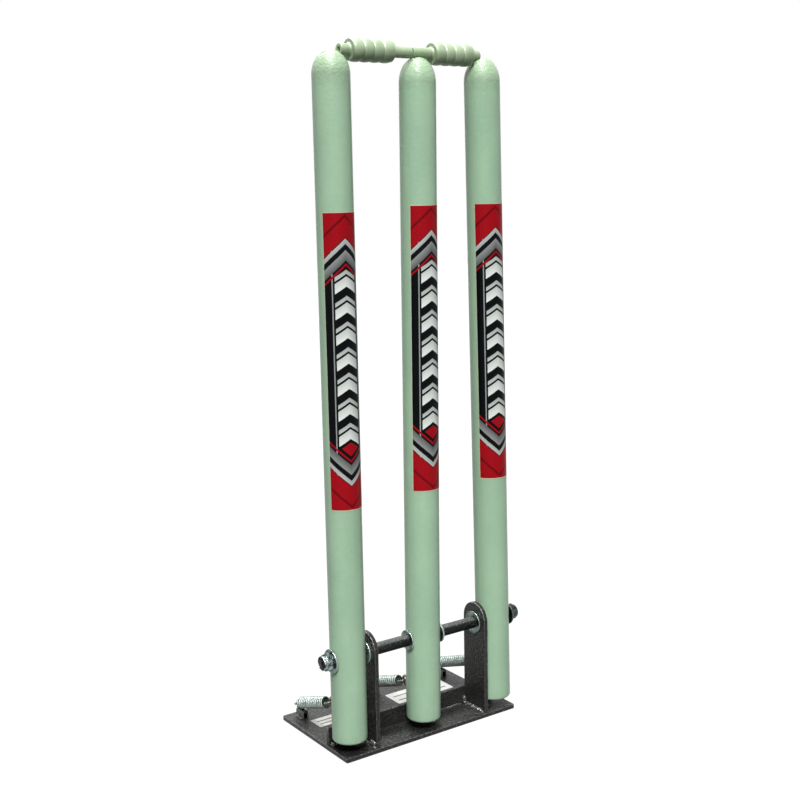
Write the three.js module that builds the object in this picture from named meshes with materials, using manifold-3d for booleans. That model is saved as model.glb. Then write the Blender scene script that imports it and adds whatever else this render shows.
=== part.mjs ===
// Spring-return cricket stumps. Three wooden stumps turn on one cross axle that two
// welded uprights carry. An extension spring behind each stump holds its foot against a
// stop bar, so a stump that is struck tips back and then stands up again. Two bails lie
// loose in the grooves on top.
//
// Millimetres. +Z is up, +X runs along the wicket to the right as the bowler sees it, and
// +Y points away from the bowler. The origin is the centre of the base plate's underside.

import * as THREE from 'three';
import { mergeVertices } from 'three/addons/utils/BufferGeometryUtils.js';
import Module from 'manifold-3d';

const wasm = await Module();
wasm.setup();

// Wicket. Its width and height are those of a full-size wicket: 9 in and 28 in.
const wicketWidth = 228.6;
const wicketHeight = 711;
const stumpDiameter = 37.2;

// Stumps
const footRound = 3;
const footClearance = 11.2;
const axleBoreClearance = 0.75;
const stumpLeanDegrees = { left: -0.04, centre: 0.48, right: -0.88 };
const stumpTopDrop = { left: 0, centre: 2.6, right: 0 };

// Fits shared by all pieces
const restGap = 0.3;
const sideGap = 0.5;
const overrun = 1;

// Base plate
const baseWidth = 224;
const baseDepth = 133;
const baseThickness = 5;
const baseCornerRadius = 2;
const baseEdgeBreak = 0.6;

// Uprights
const uprightWidth = 37;
const uprightThickness = 5;
const uprightRise = 22.3;

// Stop bar
const stopBarHeight = 20;
const stopBarThickness = 5;
const stopBarInset = 2;

// Axle rod and what is threaded on it
const axleHeight = 106.2;
const axleSetback = 19;
const axleDiameter = 10;
const axleEndChamfer = 1;
const axleStandOut = 1;
const washerDiameter = 25;
const centreWasherDiameter = 22;
const washerThickness = 2.1;
const spacerDiameter = 12.7;
const nutAcrossFlats = 17;
const nutHexLength = 7;
const nutChamfer = 1.2;
const nutCollarDiameter = 15.4;
const nutCollarLength = 3.4;
const nutCollarRound = 0.9;
const insertWall = 1.3;
const insertLength = 2.4;
const insertSetIn = 0.5;

// Screw eyes, one in the back of each stump
const eyeHeight = 45;
const eyeStandOff = 14.4;
const eyeRingRadius = 5;
const eyeWireDiameter = 3;
const eyeShankDiameter = 4;
const eyeGrip = 14;
const eyePointLength = 3;

// Spring lugs at the back of the base plate
const lugThickness = 5;
const lugFootThickness = 7.4;
const lugLength = 14;
const lugLowHeight = 8.5;
const lugFingerThickness = 4;
const lugFingerHeight = 16.5;
const lugSetback = 8.5;
const lugBarb = 0.9;
const lugBarbHeight = 2;
const lugFillet = 2;

// Extension springs
const springDiameter = 13;
const springWireDiameter = 2.2;
const springCurls = 14;
const springLead = 3.6;
const springLeadDegrees = 60;
const springHookHeight = 18;

// Bails
const bailSpigotDiameter = 11.4;
const bailBeadDiameter = 22.6;
const bailBeadCount = 4;
const bailGrooveDiameter = 20;
const bailRimDiameter = 20.4;
const bailRimLength = 1.4;
const bailFlareLength = 1.6;
const bailNeckDiameter = 14;
const bailShortSpigot = 11.2;
const bailSpigotChamfer = 0.8;
const bailHoleDiameter = 5.4;
const bailHoleDepth = 8;
const bailAxisAboveTop = 0.75;
const bailEndPlay = 2;
const bailMeetingX = -2.8;
const bailEndGap = 1.2;

// Facets
const stumpSides = 32;
const domeSteps = 7;
const roundSteps = 3;
const rodSides = 24;
const washerSides = 28;
const bailSides = 24;
const beadSteps = 6;
const springSides = 5;
const curlSteps = 8;
const hookSteps = 12;
const leadSteps = 3;
const eyeRingSteps = 20;
const eyeWireSides = 8;
const holeSegments = 12;

// Places worked out from the sizes above
const stumpRadius = stumpDiameter / 2;
const stumpSpacing = (wicketWidth - stumpDiameter) / 2;
const axleY = -baseDepth / 2 + axleSetback;
const footHeight = baseThickness + footClearance;
const uprightOuterX = stumpSpacing - stumpRadius - sideGap - washerThickness;
const uprightInnerX = uprightOuterX - uprightThickness;
const outerWasherX = stumpSpacing + stumpRadius + sideGap;
const nutX = outerWasherX + washerThickness;
const nutLength = nutHexLength + nutCollarLength;
const centreWasherX = stumpRadius + sideGap;
const spacerX = centreWasherX + washerThickness;
const stumpBackY = axleY + stumpRadius;
const boreRadius = axleDiameter / 2 + restGap;
const bailAxisZ = wicketHeight + bailAxisAboveTop;

// Stumps lean about the axle, so each dome stands a little to one side. The barrels of the
// bails hang between the domes, and the narrower of the two spaces sets their length.
const stumpPlaces = { left: -1, centre: 0, right: 1 };
const leanOf = (word) => THREE.MathUtils.degToRad(stumpLeanDegrees[word]);
const domeCentreZ = (word) => wicketHeight - stumpTopDrop[word] - stumpRadius;
const domeX = (word) => {
  return stumpPlaces[word] * stumpSpacing + Math.sin(leanOf(word)) * (domeCentreZ(word) - axleHeight);
};
const domeReach = (word) => Math.sqrt(
  (stumpRadius + restGap) ** 2 - (bailAxisZ - bailRimDiameter / 2 - domeCentreZ(word)) ** 2,
);
const spaceBetween = (first, second) => {
  return domeX(second) - domeReach(second) - domeX(first) - domeReach(first);
};
const bailSpace = Math.min(spaceBetween('left', 'centre'), spaceBetween('centre', 'right'));
const bailBarrelLength = bailSpace - bailEndPlay;
const bailBeadLength = (bailBarrelLength - 2 * bailRimLength) / bailBeadCount;
const bailOuterEnd = domeX('right') - domeReach('right');
const bailLongSpigot = bailOuterEnd - bailBarrelLength - bailMeetingX - bailEndGap / 2;
const bailLength = bailShortSpigot + bailBarrelLength + bailLongSpigot;

// Materials, with the colours of the photographed object
const paintedWood = new THREE.MeshStandardMaterial({ color: 0x9fbf9f, roughness: 0.42, metalness: 0 });
const hammeredPaint = new THREE.MeshStandardMaterial({ color: 0x2c2e30, roughness: 0.5, metalness: 0.3 });
const zincSteel = new THREE.MeshStandardMaterial({ color: 0xb9bdc0, roughness: 0.3, metalness: 1 });
const darkSteel = new THREE.MeshStandardMaterial({ color: 0x4b4e50, roughness: 0.45, metalness: 0.9 });
const yellowZinc = new THREE.MeshStandardMaterial({ color: 0xc9a45a, roughness: 0.32, metalness: 1 });
const blackNylon = new THREE.MeshStandardMaterial({ color: 0x17181a, roughness: 0.6, metalness: 0 });
const paleGreenPlastic = new THREE.MeshStandardMaterial({ color: 0xb4cfa9, roughness: 0.35, metalness: 0 });

// A closed solid from a geometry, with shared corners joined and empty triangles left out
function solidFrom(geometry) {
  const bare = geometry.clone();
  bare.deleteAttribute('normal');
  bare.deleteAttribute('uv');
  const joined = mergeVertices(bare);
  const corners = joined.index.array;
  const kept = [];
  for (let i = 0; i < corners.length; i += 3) {
    const [a, b, c] = [corners[i], corners[i + 1], corners[i + 2]];
    if (a !== b && b !== c && c !== a) {
      kept.push(a, b, c);
    }
  }
  return new wasm.Manifold(new wasm.Mesh({
    numProp: 3,
    vertProperties: new Float32Array(joined.attributes.position.array),
    triVerts: new Uint32Array(kept),
  }));
}

function geometryFrom(solid) {
  const mesh = solid.getMesh();
  const geometry = new THREE.BufferGeometry();
  geometry.setAttribute('position', new THREE.BufferAttribute(mesh.vertProperties, 3));
  geometry.setIndex(new THREE.BufferAttribute(mesh.triVerts, 1));
  geometry.computeVertexNormals();
  return geometry;
}

function namedMesh(name, solid, material) {
  const mesh = new THREE.Mesh(geometryFrom(solid), material);
  mesh.name = name;
  return mesh;
}

// A profile of [radius, height] pairs turned about the height axis, which becomes +Z
function turnedUpright(profile, sides) {
  const points = profile.map(([radius, height]) => new THREE.Vector2(radius, height));
  return solidFrom(new THREE.LatheGeometry(points, sides).rotateX(Math.PI / 2));
}

// The same profile turned about +X
function turnedAlongX(profile, sides) {
  const points = profile.map(([radius, height]) => new THREE.Vector2(radius, height));
  return solidFrom(new THREE.LatheGeometry(points, sides).rotateZ(-Math.PI / 2));
}

// A tube or washer along +X, from zero to its length
function sleeve(outerDiameter, innerDiameter, length, sides) {
  const outer = outerDiameter / 2;
  const inner = innerDiameter / 2;
  return turnedAlongX([[inner, 0], [outer, 0], [outer, length], [inner, length], [inner, 0]], sides);
}

// An outline drawn in Y and Z, with its thickness along +X
function plateAcrossX(shape, thickness) {
  const plate = new THREE.ExtrudeGeometry(shape, {
    depth: thickness,
    bevelEnabled: false,
    curveSegments: holeSegments,
  });
  return solidFrom(plate.rotateX(Math.PI / 2).rotateZ(Math.PI / 2));
}

// Points of an arc as [radius, height] pairs, about a centre, from one angle to another
function arcPairs(centreRadius, centreHeight, radius, fromAngle, toAngle, steps) {
  const pairs = [];
  for (let i = 0; i <= steps; i += 1) {
    const angle = fromAngle + (toAngle - fromAngle) * i / steps;
    pairs.push([centreRadius + radius * Math.cos(angle), centreHeight + radius * Math.sin(angle)]);
  }
  return pairs;
}

// Ground frame

function makeBasePlate() {
  const halfWidth = baseWidth / 2;
  const halfDepth = baseDepth / 2;
  const r = baseCornerRadius;
  const outline = new THREE.Shape();
  outline.absarc(halfWidth - r, halfDepth - r, r, 0, Math.PI / 2);
  outline.absarc(-halfWidth + r, halfDepth - r, r, Math.PI / 2, Math.PI);
  outline.absarc(-halfWidth + r, -halfDepth + r, r, Math.PI, 1.5 * Math.PI);
  outline.absarc(halfWidth - r, -halfDepth + r, r, 1.5 * Math.PI, 2 * Math.PI);
  const plate = new THREE.ExtrudeGeometry(outline, {
    depth: baseThickness - 2 * baseEdgeBreak,
    bevelThickness: baseEdgeBreak,
    bevelSize: baseEdgeBreak,
    bevelOffset: -baseEdgeBreak,
    bevelSegments: 1,
    curveSegments: roundSteps,
  });
  plate.translate(0, 0, baseEdgeBreak);
  return namedMesh('base_plate', solidFrom(plate), hammeredPaint);
}

function makeUpright(name, startX) {
  const half = uprightWidth / 2;
  const topCentre = axleHeight + uprightRise - half;
  const outline = new THREE.Shape();
  outline.moveTo(-half, baseThickness);
  outline.lineTo(half, baseThickness);
  outline.absarc(0, topCentre, half, 0, Math.PI);
  outline.closePath();
  const axleHole = new THREE.Path();
  axleHole.absarc(0, axleHeight, boreRadius, 0, 2 * Math.PI);
  outline.holes.push(axleHole);
  const upright = namedMesh(name, plateAcrossX(outline, uprightThickness), hammeredPaint);
  upright.position.set(startX, axleY, 0);
  return upright;
}

function makeStopBar() {
  const length = baseWidth - 2 * stopBarInset;
  const bar = solidFrom(new THREE.BoxGeometry(length, stopBarThickness, stopBarHeight));
  const mesh = namedMesh('stop_bar', bar, hammeredPaint);
  mesh.position.set(0, stumpBackY + restGap + stopBarThickness / 2, baseThickness + stopBarHeight / 2);
  return mesh;
}

// A lug has a broad low foot and a finger behind that the spring's hook drops over. The
// barb at the top of the finger keeps the hook from riding up.
function makeSpringLug(name, x) {
  const outline = new THREE.Shape();
  outline.moveTo(-lugLength, 0);
  outline.lineTo(0, 0);
  outline.lineTo(0, lugFingerHeight - lugBarbHeight);
  outline.lineTo(lugBarb, lugFingerHeight - lugBarbHeight + lugBarb);
  outline.lineTo(lugBarb, lugFingerHeight - lugBarb);
  outline.lineTo(0, lugFingerHeight);
  outline.lineTo(-lugFingerThickness, lugFingerHeight);
  outline.lineTo(-lugFingerThickness, lugLowHeight + lugFillet);
  const filletY = -lugFingerThickness - lugFillet;
  outline.absarc(filletY, lugLowHeight + lugFillet, lugFillet, 0, -Math.PI / 2, true);
  outline.lineTo(-lugLength + lugFillet, lugLowHeight);
  outline.absarc(-lugLength + lugFillet, lugLowHeight - lugFillet, lugFillet, Math.PI / 2, Math.PI);
  outline.closePath();
  const footOutline = new THREE.Shape();
  footOutline.moveTo(-lugLength, 0);
  footOutline.lineTo(0, 0);
  footOutline.lineTo(0, lugLowHeight);
  footOutline.lineTo(-lugLength + lugFillet, lugLowHeight);
  footOutline.absarc(-lugLength + lugFillet, lugLowHeight - lugFillet, lugFillet, Math.PI / 2, Math.PI);
  footOutline.closePath();
  const finger = plateAcrossX(outline, lugThickness)
    .translate([(lugFootThickness - lugThickness) / 2, 0, 0]);
  const lug = namedMesh(name, plateAcrossX(footOutline, lugFootThickness).add(finger), hammeredPaint);
  lug.position.set(x - lugFootThickness / 2, baseDepth / 2 - lugSetback, baseThickness);
  return lug;
}

// Axle and what is threaded on it

function makeAxleRod() {
  const halfLength = nutX + nutLength + axleStandOut;
  const radius = axleDiameter / 2;
  const rod = turnedAlongX([
    [0, -halfLength],
    [radius - axleEndChamfer, -halfLength],
    [radius, -halfLength + axleEndChamfer],
    [radius, halfLength - axleEndChamfer],
    [radius - axleEndChamfer, halfLength],
    [0, halfLength],
  ], rodSides);
  const mesh = namedMesh('axle_rod', rod, darkSteel);
  mesh.position.set(0, axleY, axleHeight);
  return mesh;
}

function onAxle(name, solid, material, startX, side) {
  const mesh = namedMesh(name, solid, material);
  mesh.position.set(side * startX, axleY, axleHeight);
  mesh.rotation.z = side > 0 ? 0 : Math.PI;
  return mesh;
}

function hexagonOutline(acrossFlats) {
  const cornerRadius = acrossFlats / 2 / Math.cos(Math.PI / 6);
  const corners = [];
  for (let i = 0; i < 6; i += 1) {
    const angle = (i + 0.5) * Math.PI / 3;
    corners.push(new THREE.Vector2(cornerRadius * Math.cos(angle), cornerRadius * Math.sin(angle)));
  }
  return new THREE.Shape(corners);
}

// A hexagon with turned chamfers, and the round collar that holds the nylon insert
function makeLockNut() {
  const flatRadius = nutAcrossFlats / 2;
  const cornerRadius = flatRadius / Math.cos(Math.PI / 6);
  const collarRadius = nutCollarDiameter / 2;
  const hexagon = plateAcrossX(hexagonOutline(nutAcrossFlats), nutHexLength);
  const turned = turnedAlongX([
    [0, 0],
    [flatRadius, 0],
    [cornerRadius, nutChamfer],
    [cornerRadius, nutHexLength - nutChamfer],
    [flatRadius, nutHexLength],
    [0, nutHexLength],
  ], rodSides);
  const collarEdge = arcPairs(
    collarRadius - nutCollarRound,
    nutLength - nutCollarRound,
    nutCollarRound,
    0,
    Math.PI / 2,
    roundSteps,
  );
  const collar = turnedAlongX([
    [0, nutHexLength - nutChamfer],
    [collarRadius, nutHexLength - nutChamfer],
    ...collarEdge,
    [0, nutLength],
  ], rodSides);
  const insertRecess = boreRadius + insertWall;
  const bore = turnedAlongX([
    [0, -overrun],
    [boreRadius, -overrun],
    [boreRadius, nutLength - insertSetIn - insertLength - restGap],
    [insertRecess, nutLength - insertSetIn - insertLength - restGap],
    [insertRecess, nutLength + overrun],
    [0, nutLength + overrun],
  ], rodSides);
  return hexagon.intersect(turned).add(collar).subtract(bore);
}

function makeNylonInsert() {
  const outerDiameter = 2 * (boreRadius + insertWall - restGap);
  return sleeve(outerDiameter, 2 * boreRadius, insertLength, rodSides);
}

function makeAxleParts() {
  const washer = sleeve(washerDiameter, 2 * boreRadius, washerThickness, washerSides);
  const centreWasher = sleeve(centreWasherDiameter, 2 * boreRadius, washerThickness, washerSides);
  const spacerLength = uprightInnerX - washerThickness - spacerX;
  const spacer = sleeve(spacerDiameter, 2 * boreRadius, spacerLength, rodSides);
  const nut = makeLockNut();
  const insert = makeNylonInsert();
  const insertX = nutX + nutLength - insertSetIn - insertLength;
  const parts = [makeAxleRod()];
  for (const [word, side] of [['left', -1], ['right', 1]]) {
    parts.push(
      onAxle(`outer_washer_${word}`, washer, zincSteel, outerWasherX, side),
      onAxle(`bracket_washer_${word}`, washer, zincSteel, uprightOuterX, side),
      onAxle(`inner_washer_${word}`, washer, zincSteel, uprightInnerX - washerThickness, side),
      onAxle(`centre_washer_${word}`, centreWasher, zincSteel, centreWasherX, side),
      onAxle(`spacer_tube_${word}`, spacer, darkSteel, spacerX, side),
      onAxle(`lock_nut_${word}`, nut, zincSteel, nutX, side),
      onAxle(`nylon_insert_${word}`, insert, blackNylon, insertX, side),
    );
  }
  return parts;
}

// Stumps and screw eyes. Both are drawn about the axle, which is where a stump turns.

const eyeLocal = new THREE.Vector3(0, stumpRadius + eyeStandOff, eyeHeight - axleHeight);

function makeStump(word) {
  const lean = leanOf(word);
  const foot = footHeight - axleHeight;
  const domeCentre = domeCentreZ(word) - axleHeight;
  const blank = turnedUpright([
    [0, foot],
    ...arcPairs(stumpRadius - footRound, foot + footRound, footRound, -Math.PI / 2, 0, roundSteps),
    ...arcPairs(0, domeCentre, stumpRadius, 0, Math.PI / 2, domeSteps).slice(0, -1),
    [0, domeCentre + stumpRadius],
  ], stumpSides);
  const reach = stumpRadius + overrun;
  const axleBore = turnedAlongX([
    [0, -reach],
    [axleDiameter / 2 + axleBoreClearance, -reach],
    [axleDiameter / 2 + axleBoreClearance, reach],
    [0, reach],
  ], rodSides);
  const grooveRadius = bailSpigotDiameter / 2 + restGap;
  const groove = turnedAlongX([
    [0, -reach],
    [grooveRadius, -reach],
    [grooveRadius, reach],
    [0, reach],
  ], rodSides)
    .rotate([0, THREE.MathUtils.radToDeg(-lean), 0])
    .translate([0, 0, (bailAxisZ - axleHeight) / Math.cos(lean)]);
  const eyeHole = turnedUpright([
    [0, 0],
    [eyeShankDiameter / 2 + restGap, 0],
    [eyeShankDiameter / 2 + restGap, eyeGrip + restGap + overrun],
    [0, eyeGrip + restGap + overrun],
  ], eyeWireSides)
    .rotate([-90, 0, 0])
    .translate([0, stumpRadius - eyeGrip - restGap, eyeLocal.z]);
  const stump = blank.subtract(axleBore).subtract(groove).subtract(eyeHole);
  return namedMesh(`stump_${word}`, stump, paintedWood);
}

// The eye's ring stands in the plane of Y and Z, and its pointed shank runs into the stump
function makeScrewEye(name) {
  const wireRadius = eyeWireDiameter / 2;
  const torus = new THREE.TorusGeometry(eyeRingRadius, wireRadius, eyeWireSides, eyeRingSteps);
  const ring = solidFrom(torus.rotateY(Math.PI / 2));
  const shankRadius = eyeShankDiameter / 2;
  const tip = eyeStandOff + eyeGrip;
  const shank = turnedUpright([
    [0, eyeRingRadius],
    [shankRadius, eyeRingRadius],
    [shankRadius, tip - eyePointLength],
    [0, tip],
  ], eyeWireSides).rotate([90, 0, 0]);
  const eye = namedMesh(name, ring.add(shank), yellowZinc);
  eye.position.copy(eyeLocal);
  return eye;
}

// Springs. A spring is drawn along its own +Z between the centres of its two hooks.

// Half of the hook that stands across the coil's end, from its free end to the coil
function hookPoints(radius) {
  const points = [new THREE.Vector3(-radius, 0, springWireDiameter)];
  for (let i = 0; i <= hookSteps; i += 1) {
    const angle = Math.PI * i / hookSteps;
    points.push(new THREE.Vector3(-radius * Math.cos(angle), 0, -radius * Math.sin(angle)));
  }
  return points;
}

// The coil, with a lead at each end where the wire bends from the hook into the curls
function coilPoints(radius, length) {
  const leadAngle = THREE.MathUtils.degToRad(springLeadDegrees);
  const fullAngle = 2 * Math.PI * springCurls;
  const rise = (length - 2 * springLead) / (fullAngle - 2 * leadAngle);
  const pointAt = (angle, height) => {
    return new THREE.Vector3(radius * Math.cos(angle), radius * Math.sin(angle), height);
  };
  const points = [];
  for (let i = 1; i < leadSteps; i += 1) {
    const share = i / leadSteps;
    points.push(pointAt(leadAngle * share * share, springLead * (1 - (1 - share) * (1 - share))));
  }
  const steps = Math.round((fullAngle - 2 * leadAngle) / (2 * Math.PI) * curlSteps);
  for (let i = 0; i <= steps; i += 1) {
    const turned = (fullAngle - 2 * leadAngle) * i / steps;
    points.push(pointAt(leadAngle + turned, springLead + rise * turned));
  }
  for (let i = leadSteps - 1; i > 0; i -= 1) {
    const share = i / leadSteps;
    const height = springLead * (1 - (1 - share) * (1 - share));
    points.push(pointAt(fullAngle - leadAngle * share * share, length - height));
  }
  return points;
}

function springPath(length) {
  const radius = (springDiameter - springWireDiameter) / 2;
  const nearHook = hookPoints(radius);
  const farHook = hookPoints(radius).map((p) => new THREE.Vector3(p.x, -p.y, length - p.z)).reverse();
  return [...nearHook, ...coilPoints(radius, length), ...farHook];
}

// A closed tube with one ring of corners at each point of a path
function tubeAlong(points, radius, sides) {
  const rings = points.length;
  const positions = [];
  const indices = [];
  const normal = new THREE.Vector3();
  const before = new THREE.Vector3();
  for (let i = 0; i < rings; i += 1) {
    const tangent = new THREE.Vector3()
      .subVectors(points[Math.min(i + 1, rings - 1)], points[Math.max(i - 1, 0)])
      .normalize();
    if (i === 0) {
      normal.set(0, 1, 0);
    } else {
      normal.applyQuaternion(new THREE.Quaternion().setFromUnitVectors(before, tangent));
    }
    normal.addScaledVector(tangent, -normal.dot(tangent)).normalize();
    before.copy(tangent);
    const across = new THREE.Vector3().crossVectors(tangent, normal);
    for (let j = 0; j < sides; j += 1) {
      const angle = 2 * Math.PI * j / sides;
      const corner = points[i].clone()
        .addScaledVector(normal, radius * Math.cos(angle))
        .addScaledVector(across, radius * Math.sin(angle));
      positions.push(corner.x, corner.y, corner.z);
    }
  }
  for (let i = 0; i + 1 < rings; i += 1) {
    for (let j = 0; j < sides; j += 1) {
      const a = i * sides + j;
      const b = i * sides + (j + 1) % sides;
      indices.push(a, b, a + sides, b, b + sides, a + sides);
    }
  }
  for (let j = 1; j + 1 < sides; j += 1) {
    const last = (rings - 1) * sides;
    indices.push(0, j + 1, j);
    indices.push(last, last + j, last + j + 1);
  }
  const geometry = new THREE.BufferGeometry();
  geometry.setAttribute('position', new THREE.Float32BufferAttribute(positions, 3));
  geometry.setIndex(indices);
  geometry.computeVertexNormals();
  return geometry;
}

// The least gap between two stretches of the wire that aren't neighbours along it
function leastSelfGap(points) {
  const along = [0];
  for (let i = 1; i < points.length; i += 1) {
    along.push(along[i - 1] + points[i].distanceTo(points[i - 1]));
  }
  let least = Infinity;
  for (let i = 0; i < points.length; i += 1) {
    for (let j = i + 1; j < points.length; j += 1) {
      if (along[j] - along[i] > 3 * springWireDiameter) {
        least = Math.min(least, points[i].distanceTo(points[j]) - springWireDiameter);
      }
    }
  }
  return least;
}

// The spring's axis runs from the finger of its lug to the centre of its screw eye.
// Each hook bears on what holds it, with the resting gap between: the near one on the
// back corners of the finger, the far one on the wire of the eye.
function makeSpring(name, x, eyeCentre) {
  const wireRadius = springWireDiameter / 2;
  const radius = springDiameter / 2 - wireRadius;
  const cornerDepth = Math.sqrt((radius - wireRadius - restGap) ** 2 - (lugThickness / 2) ** 2);
  const lugSide = new THREE.Vector3(x, baseDepth / 2 - lugSetback + radius - cornerDepth, springHookHeight);
  const axis = new THREE.Vector3().subVectors(eyeCentre, lugSide).normalize();
  const eyeReach = eyeRingRadius - eyeWireDiameter / 2 - restGap - wireRadius;
  const length = lugSide.distanceTo(eyeCentre) - eyeReach - 2 * radius;
  const path = springPath(length);
  const spring = new THREE.Mesh(tubeAlong(path, wireRadius, springSides), zincSteel);
  spring.name = name;
  const sideways = new THREE.Vector3(1, 0, 0).addScaledVector(axis, -axis.x).normalize();
  const upwards = new THREE.Vector3().crossVectors(axis, sideways);
  spring.quaternion.setFromRotationMatrix(new THREE.Matrix4().makeBasis(sideways, upwards, axis));
  spring.position.copy(lugSide).addScaledVector(axis, radius);
  console.log(`${name}: least gap of the wire to itself ${leastSelfGap(path).toFixed(2)} mm`);
  return spring;
}

// Bails. The profile runs from the short spigot's end to the long one's.

function bailProfile() {
  const spigot = bailSpigotDiameter / 2;
  const hole = bailHoleDiameter / 2;
  const neck = bailNeckDiameter / 2;
  const rim = bailRimDiameter / 2;
  const bead = bailBeadDiameter / 2;
  const groove = bailGrooveDiameter / 2;
  const barrelEnd = bailShortSpigot + bailBarrelLength;
  const profile = [
    [0, bailHoleDepth],
    [hole, bailHoleDepth],
    [hole, 0],
    [spigot - bailSpigotChamfer, 0],
    [spigot, bailSpigotChamfer],
    [spigot, bailShortSpigot - bailFlareLength],
    [neck, bailShortSpigot],
    [rim, bailShortSpigot],
  ];
  for (let i = 0; i < bailBeadCount; i += 1) {
    for (let j = 0; j < beadSteps; j += 1) {
      const swell = Math.sqrt(Math.sin(Math.PI * j / beadSteps));
      const along = (i + j / beadSteps) * bailBeadLength;
      profile.push([groove + (bead - groove) * swell, bailShortSpigot + bailRimLength + along]);
    }
  }
  profile.push(
    [groove, barrelEnd - bailRimLength],
    [rim, barrelEnd],
    [neck, barrelEnd],
    [spigot, barrelEnd + bailFlareLength],
    [spigot, bailLength - bailSpigotChamfer],
    [spigot - bailSpigotChamfer, bailLength],
    [hole, bailLength],
    [hole, bailLength - bailHoleDepth],
    [0, bailLength - bailHoleDepth],
  );
  return profile;
}

function makeBails() {
  const bail = turnedAlongX(bailProfile(), bailSides);
  const left = namedMesh('bail_left', bail, paleGreenPlastic);
  left.position.set(bailMeetingX - bailEndGap / 2 - bailLength, axleY, bailAxisZ);
  const right = namedMesh('bail_right', bail, paleGreenPlastic);
  right.position.set(bailMeetingX + bailEndGap / 2 + bailLength, axleY, bailAxisZ);
  right.rotation.z = Math.PI;
  return [left, right];
}

// The whole object

const group = new THREE.Group();
group.add(
  makeBasePlate(),
  makeUpright('upright_left', -uprightOuterX),
  makeUpright('upright_right', uprightInnerX),
  makeStopBar(),
  ...makeAxleParts(),
);

for (const word of Object.keys(stumpPlaces)) {
  const x = stumpPlaces[word] * stumpSpacing;
  const standing = new THREE.Group();
  standing.position.set(x, axleY, axleHeight);
  standing.rotation.y = leanOf(word);
  standing.add(makeStump(word), makeScrewEye(`screw_eye_${word}`));
  const eyeCentre = eyeLocal.clone().applyEuler(standing.rotation).add(standing.position);
  group.add(standing);
  group.add(makeSpringLug(`spring_lug_${word}`, x));
  group.add(makeSpring(`spring_${word}`, x, eyeCentre));
}

group.add(...makeBails());

export default group;
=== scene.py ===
# %% [markdown]
# # Spring-return cricket stumps
#
# Three painted wooden stumps hang on one steel axle above a flat steel base. A spring behind
# each stump holds its foot against a bar, so a stump that the ball tips back stands up again.
# Two ribbed bails lie loose on top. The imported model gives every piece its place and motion,
# and this lesson builds the surfaces and finishes that are seen.

import bmesh
import bpy
import numpy as np
from mathutils import Matrix, Vector


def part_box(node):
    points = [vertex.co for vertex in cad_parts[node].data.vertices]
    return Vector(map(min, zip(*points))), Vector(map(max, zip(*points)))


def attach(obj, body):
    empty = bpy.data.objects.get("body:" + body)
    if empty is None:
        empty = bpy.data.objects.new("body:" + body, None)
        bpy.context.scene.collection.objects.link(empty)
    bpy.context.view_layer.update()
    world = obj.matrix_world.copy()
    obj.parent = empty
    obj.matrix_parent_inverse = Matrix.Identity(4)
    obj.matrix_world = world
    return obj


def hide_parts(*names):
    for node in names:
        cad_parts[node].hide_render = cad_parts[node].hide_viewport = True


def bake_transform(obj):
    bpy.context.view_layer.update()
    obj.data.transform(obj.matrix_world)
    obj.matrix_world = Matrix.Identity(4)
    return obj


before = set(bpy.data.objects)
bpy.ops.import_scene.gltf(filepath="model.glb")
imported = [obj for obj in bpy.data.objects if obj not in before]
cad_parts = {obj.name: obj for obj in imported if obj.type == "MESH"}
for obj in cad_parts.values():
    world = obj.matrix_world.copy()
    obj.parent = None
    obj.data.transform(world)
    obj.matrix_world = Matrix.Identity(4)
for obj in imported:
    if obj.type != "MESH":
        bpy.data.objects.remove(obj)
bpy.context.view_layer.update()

# %% [markdown]
# ## Camera
#
# The camera stands to the left of the bowler's line, a little above the middle of the stumps.
# Three angles give its direction, and its picture's two axes follow by cross products. A
# constraint would aim it too, but the roll of a hand-held camera would need an extra step.

# %% Place the camera
camera_azimuth, camera_elevation, camera_roll = np.radians([-34.798, 10.068, -1.137])
camera_distance = 1.30453
camera_aim = np.array([-0.00251, -0.01692, 0.35960])
focal_pixels, picture_pixels = 1234.75, 800


def direction_to(azimuth, elevation):
    """Unit vector from the object to something at that azimuth and elevation, in radians."""
    level = np.cos(elevation)
    return np.array([np.sin(azimuth) * level, -np.cos(azimuth) * level, np.sin(elevation)])


def unit(vectors):
    """Each vector divided by its length."""
    return vectors / np.linalg.norm(vectors, axis=-1, keepdims=True)


def new_object(name, data):
    """An object in the scene, for a mesh, a lamp or the camera."""
    made = bpy.data.objects.new(name, data)
    bpy.context.scene.collection.objects.link(made)
    return made


backward = direction_to(camera_azimuth, camera_elevation)
level_right = unit(np.cross(-backward, [0.0, 0.0, 1.0]))
level_up = np.cross(level_right, -backward)
picture_right = np.cos(camera_roll) * level_right + np.sin(camera_roll) * level_up
picture_up = np.cos(camera_roll) * level_up - np.sin(camera_roll) * level_right
camera_place = camera_aim + camera_distance * backward

lens = bpy.data.cameras.new("studio_camera")
lens.sensor_width = 36
lens.lens = lens.sensor_width * focal_pixels / picture_pixels
lens.clip_start = 0.01
camera = new_object("studio_camera", lens)
axes = np.eye(4)
axes[:3] = np.stack([picture_right, picture_up, backward, camera_place], -1)
camera.matrix_world = Matrix(axes.tolist())
bpy.context.scene.camera = camera
bpy.context.scene.view_settings.view_transform = "Standard"
print("camera at", camera_place.round(3), "with a lens of", round(lens.lens, 2), "mm")

# %% [markdown]
# ## A small tool for node trees
#
# Every finish below is a tree of shader nodes. One helper adds a node, sets its properties and
# fills its sockets with constants or other nodes' outputs, so a finish reads as a recipe.
# Colours are written as the eye sees them, in 0 to 255, and turn linear in their socket.

# %% Node and colour helpers


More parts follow.
